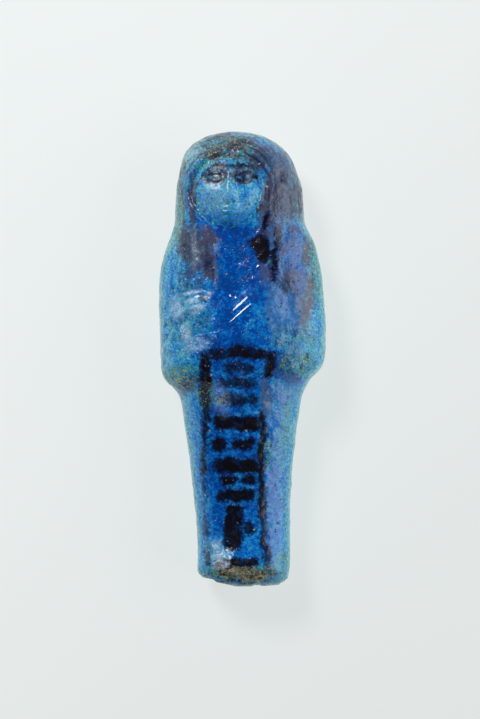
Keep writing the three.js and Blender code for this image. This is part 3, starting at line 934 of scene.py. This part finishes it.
def makeGlaze():
    shop = Shop("blue_glaze")
    scaled = shop.add("ShaderNodeVectorMath", operation="SCALE")
    shop.feed(shop.add("ShaderNodeTexCoord").outputs["Object"], scaled.inputs[0])
    scaled.inputs["Scale"].default_value = 1 / millimetre
    place = scaled.outputs[0]

    pool = shop.field("pool")
    ink = shop.field("ink")
    inkFade = shop.field("inkFade")
    washed = shop.field("wash")
    strand = shop.field("strand")
    wig = shop.field("wig")
    wear = shop.field("wear")
    crusted = shop.field("crust")
    bloomAndHighlightShare = shop.field("bloomAndHighlight")
    lumpy = shop.field("rough")
    paintedSheenShare = shop.field("paintedSheen")
    hazeAndSheenShare = shop.field("hazeAndSheen")
    painted = shop.field("painted")
    calm = shop.field("calm")

    grain = shop.noise(place, *noises["grain"])
    speck = shop.noise(place, *noises["speck"])
    mottle = shop.noise(place, *noises["mottle"])
    cloud = shop.noise(place, *noises["cloud"])

    # combed strands: noise drawn out along them
    parts = shop.add("ShaderNodeSeparateXYZ")
    shop.feed(place, parts.inputs[0])
    combed = shop.add("ShaderNodeCombineXYZ")
    shop.feed(strand, combed.inputs[0])
    shop.feed(shop.times(parts.outputs[1], 0.1), combed.inputs[1])
    shop.feed(shop.times(parts.outputs[0], 0.1), combed.inputs[2])
    strands = shop.noise(combed.outputs[0], *noises["strands"])

    # depth of the blue, and where it turns green
    grainy = shop.ramp(pool, 0.3, 0.8, (1.5, 0.6))
    depth = shop.math("MULTIPLY_ADD", shop.math("SUBTRACT", grain, 0.5), grainy, pool)
    depth = shop.stir(depth, speck, 1.1)
    depth = shop.stir(depth, mottle, 1.1)
    depth = shop.stir(depth, cloud, 0.4)
    colour = shop.colours(depth, blueGlaze["tones"])
    hue = shop.noise(place, *noises["hue"])
    greenish = shop.times(shop.ramp(hue, 0.43, 0.71), shop.ramp(wear, 0.0, 0.7, (0.2, 0.65)))
    greenish = shop.math("MULTIPLY_ADD", wear, 0.6, greenish, clamp=True)
    greenish = shop.times(greenish, shop.ramp(painted, 0.0, 1.0, (1.0, 0.25)))
    greens = shop.mix(shop.ramp(depth, 0.5, 1.0), blueGlaze["green"], blueGlaze["greenDeep"])
    colour = shop.mix(greenish, colour, greens)

    # the quartz shows where the glaze is thin
    quartz = shop.ramp(shop.noise(place, *noises["quartz"]), 0.36, 0.64, (0.62, 1.4))
    colour = shop.mix(shop.ramp(pool, 0.3, 0.75, (1.0, 0.0)), colour, quartz, "MULTIPLY")

    # dark wash over the wig, streaked along the strands
    streaks = shop.math("MULTIPLY_ADD", strands, 0.9, -0.45)
    streaks = shop.times(streaks, shop.ramp(wig, 0.2, 0.9, (0.3, 1.0)))
    streaked = shop.stir(shop.math("ADD", washed, streaks), mottle, 1.0)
    streaked = shop.stir(streaked, speck, 1.0)
    dark = shop.times(shop.ramp(streaked, 0.2, 0.75), shop.ramp(washed, 0.02, 0.3))
    washTone = shop.mix(shop.ramp(streaked, 0.75, 1.15), blackPaint["thin"], blackPaint["thinDark"])
    colour = shop.mix(shop.times(dark, cover["wash"]), colour, washTone)
    line = shop.times(shop.ramp(strands, 0.54, 0.6), shop.times(wig, cover["strand"]))
    colour = shop.mix(line, colour, blackPaint["strand"])

    # painted sheen, and a brownish haze that is partly a stain and partly painted sheen
    sheenVeil = shop.times(paintedSheenShare, shop.ramp(speck, 0.35, 0.6, (1.0, 0.6)))
    colour = shop.mix(sheenVeil, colour, blueGlaze["paintedSheen"])
    hazeAndSheenVeil = shop.times(hazeAndSheenShare, shop.ramp(strands, 0.35, 0.6, (1.0, 0.45)))
    colour = shop.mix(hazeAndSheenVeil, colour, blueGlaze["hazeAndSheen"])

    # black strokes with a drowned edge
    edge = shop.stir(ink, speck, 1.3)
    edge = shop.stir(edge, mottle, 0.7)
    bled = shop.times(shop.ramp(edge, -0.75, 0.1), inkFade)
    colour = shop.mix(shop.times(bled, cover["drowned"]), colour, blackPaint["drowned"])
    patchy = shop.stir(inkFade, mottle, 1.6, clamp=True)
    laid = shop.times(shop.ramp(edge, -0.25, 0.35), patchy)
    inkTone = shop.mix(shop.ramp(speck, 0.56, 0.72), blackPaint["thick"], blackPaint["brown"])
    colour = shop.mix(laid, colour, inkTone)

    # flecks of bare paste where the glaze is thin, a few anywhere else
    flecks = shop.noise(place, *noises["flecks"])
    kinds = shop.noise(place, *noises["kinds"])
    limit = shop.stir(shop.ramp(wear, 0.0, 1.0, (0.745, 0.6)), hue, -0.24)
    limit = shop.math("MULTIPLY_ADD", laid, 0.05, limit)
    fleck = shop.ramp(shop.math("SUBTRACT", flecks, limit), 0.0, 0.025)
    bare = shop.math("MULTIPLY_ADD", shop.ramp(wear, 0.75, 1.0), 0.13, kinds)
    bare = shop.times(shop.ramp(bare, 0.74, 0.77), shop.ramp(flecks, 0.4, 0.5))
    fleck = shop.most(fleck, bare)
    ochre = shop.ramp(shop.math("MULTIPLY_ADD", wear, 0.12, kinds), 0.44, 0.56)
    fleckTone = shop.mix(ochre, blueGlaze["bubble"], blueGlaze["paste"])
    fleckTone = shop.mix(shop.ramp(speck, 0.54, 0.62), fleckTone, blueGlaze["pasteDark"])
    colour = shop.mix(shop.times(fleck, cover["fleck"]), colour, fleckTone)

    # pinholes, small and wide
    small = shop.holes(place, 0.95, shop.ramp(lumpy, 0.0, 1.0, (0.28, 0.6)), (0.08, 0.26))
    coarse = shop.ramp(shop.math("ADD", lumpy, paintedSheenShare), 0.0, 1.0, (0.05, 0.34))
    hole = shop.most(small, shop.holes(place, 0.45, coarse, (0.09, 0.2)))
    colour = shop.mix(shop.times(hole, cover["pinhole"]), colour, blueGlaze["pinhole"])

    # whitish bloom, and painted highlights
    curls = shop.noise(place, *noises["curls"])
    bloomAndHighlightVeil = shop.times(bloomAndHighlightShare, shop.ramp(curls, 0.44, 0.62, (0.3, 1.0)))
    colour = shop.mix(bloomAndHighlightVeil, colour, blueGlaze["bloomAndHighlight"])

    # the broken crust at the toes lies in layers
    drawn = shop.add("ShaderNodeMapping")
    shop.feed(place, drawn.inputs["Vector"])
    drawn.inputs["Rotation"].default_value = (0, 0, radians(-14))
    drawn.inputs["Scale"].default_value = (0.6, 1.7, 1.0)
    layers = shop.noise(drawn.outputs[0], *noises["layers"])
    crustEdge = shop.stir(crusted, layers, 1.6)
    crustEdge = shop.stir(crustEdge, mottle, 1.6)
    broken = shop.ramp(crustEdge, 0.55, 0.8)
    crumbs = shop.math("MULTIPLY_ADD", speck, 0.9, shop.math("MULTIPLY_ADD", layers, 0.8, -0.35))
    crustTone = shop.colours(crumbs, toeCrust)
    colour = shop.mix(shop.times(broken, cover["crust"]), colour, crustTone)
    shop.feed(colour, shop.shader.inputs["Base Color"])

    # gloss, duller where the glaze is worn, painted or broken
    dull = shop.most(broken, shop.times(bloomAndHighlightShare, 0.5), shop.times(wear, 0.4))
    dull = shop.most(dull, shop.times(laid, 0.3), shop.times(painted, 0.45), fleck)
    rough = shop.ramp(dull, 0.0, 1.0, (blueGlaze["gloss"], blueGlaze["matt"]))
    rough = shop.stir(rough, mottle, 0.14, clamp=True)
    shop.feed(rough, shop.shader.inputs["Roughness"])
    shop.shader.inputs["IOR"].default_value = blueGlaze["refraction"]

    # what is too fine for the mesh
    normal = shop.bump(shop.times(strands, wig), *bumps["strands"])
    steady = shop.ramp(calm, 0.0, 0.8, (1.0, 0.3))
    relief = shop.times(mottle, shop.ramp(lumpy, 0.0, 1.0, (0.45, 2.0)))
    normal = shop.bump(shop.times(relief, steady), *bumps["mottle"], normal)
    relief = shop.times(speck, shop.ramp(lumpy, 0.0, 1.0, (0.4, 2.0)))
    relief = shop.math("SUBTRACT", shop.times(relief, steady), hole)
    normal = shop.bump(relief, *bumps["speck"], normal)
    normal = shop.bump(shop.times(curls, lumpy), *bumps["curls"], normal)
    shop.feed(normal, shop.shader.inputs["Normal"])
    return shop.material


figure.data.materials.append(makeGlaze())
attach(figure, "root")
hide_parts("ushabti_figure")
print("figure glazed")

# The table under it, the lights and the camera.
table = {
    "name": "pale_table",
    "size": 1.6,
    "tone": (0.19, 0.2, 0.2, 1),
    "roughness": 0.8,
    "glowTone": (0.95, 1.0, 0.985, 1),  # the top glows of itself, which fills in the shadows: painted light
    "paintedGlow": (0.645, 0.735),  # at its near right and its far left: brighter towards the key light's side, a painted pool of light
    "glowReach": 0.12,  # how far from the middle the two lie
}


def makeTable():
    mesh = bpy.data.meshes.new(table["name"])
    half = table["size"] / 2
    corners = [(-half, -half, 0), (half, -half, 0), (half, half, 0), (-half, half, 0)]
    mesh.from_pydata(corners, [], [(0, 1, 2, 3)])
    plane = bpy.data.objects.new(table["name"], mesh)
    bpy.context.scene.collection.objects.link(plane)
    shop = Shop("pale_board")
    shop.shader.inputs["Base Color"].default_value = table["tone"]
    shop.shader.inputs["Roughness"].default_value = table["roughness"]
    shop.shader.inputs["Emission Color"].default_value = table["glowTone"]
    parts = shop.add("ShaderNodeSeparateXYZ")
    shop.feed(shop.add("ShaderNodeTexCoord").outputs["Object"], parts.inputs[0])
    along = shop.math("SUBTRACT", parts.outputs[1], parts.outputs[0])
    reach = table["glowReach"]
    # the table's own glow, rising towards the far left: painted light
    shop.feed(shop.ramp(along, -reach, reach, table["paintedGlow"]), shop.shader.inputs["Emission Strength"])
    mesh.materials.append(shop.material)
    return plane


makeTable()

lights = {
    "key_softbox": {
        "at": (-0.28, 0.41, 0.52),
        "aim": (0, 0, 0.01),
        "size": (0.2, 0.2),
        "power": 3.0,
    },
    "right_softbox": {
        "at": (0.54, -0.02, 0.31),
        "aim": (0, 0, 0.2),
        "size": (0.66, 0.55),
        "power": 2.35,
    },
}
room = {"tone": (0.86, 0.95, 1.0, 1), "horizon": 0.8, "overhead": 0.03, "height": 0.5}


def makeLights():
    for name, light in lights.items():
        lamp = bpy.data.lights.new(name, "AREA")
        lamp.shape = "RECTANGLE"
        lamp.size, lamp.size_y = light["size"]
        lamp.energy = light["power"]
        thing = bpy.data.objects.new(name, lamp)
        thing.location = light["at"]
        toAim = Vector(light["aim"]) - thing.location
        thing.rotation_euler = toAim.to_track_quat("-Z", "Y").to_euler()
        bpy.context.scene.collection.objects.link(thing)


def makeRoom():
    world = bpy.data.worlds.new("dim_room")
    world.use_nodes = True
    nodes = world.node_tree.nodes
    links = world.node_tree.links
    background = nodes["Background"]
    background.inputs["Color"].default_value = room["tone"]
    parts = nodes.new("ShaderNodeSeparateXYZ")
    fade = nodes.new("ShaderNodeMapRange")  # bright walls, dark ceiling
    fade.inputs["From Max"].default_value = room["height"]
    fade.inputs["To Min"].default_value = room["horizon"]
    fade.inputs["To Max"].default_value = room["overhead"]
    links.new(nodes.new("ShaderNodeTexCoord").outputs["Generated"], parts.inputs[0])
    links.new(parts.outputs[2], fade.inputs["Value"])
    links.new(fade.outputs[0], background.inputs["Strength"])
    bpy.context.scene.world = world


camera = {
    "lens": 120,  # mm
    "sensor": 36,
    "tall": 0.1422,  # metres that the view takes in from top to bottom
    "level": 0.0088,  # at this height above the table
    "aim": (-0.00045, -0.0001),
}


def makeCamera():
    data = bpy.data.cameras.new("camera")
    data.lens = camera["lens"]
    data.sensor_width = camera["sensor"]
    thing = bpy.data.objects.new("camera", data)
    distance = camera["tall"] * camera["lens"] / camera["sensor"]
    thing.location = (*camera["aim"], camera["level"] + distance)
    bpy.context.scene.collection.objects.link(thing)
    bpy.context.scene.camera = thing


makeLights()
makeRoom()
makeCamera()
bpy.context.scene.view_settings.view_transform = "Standard"
print("table, lights and camera set")
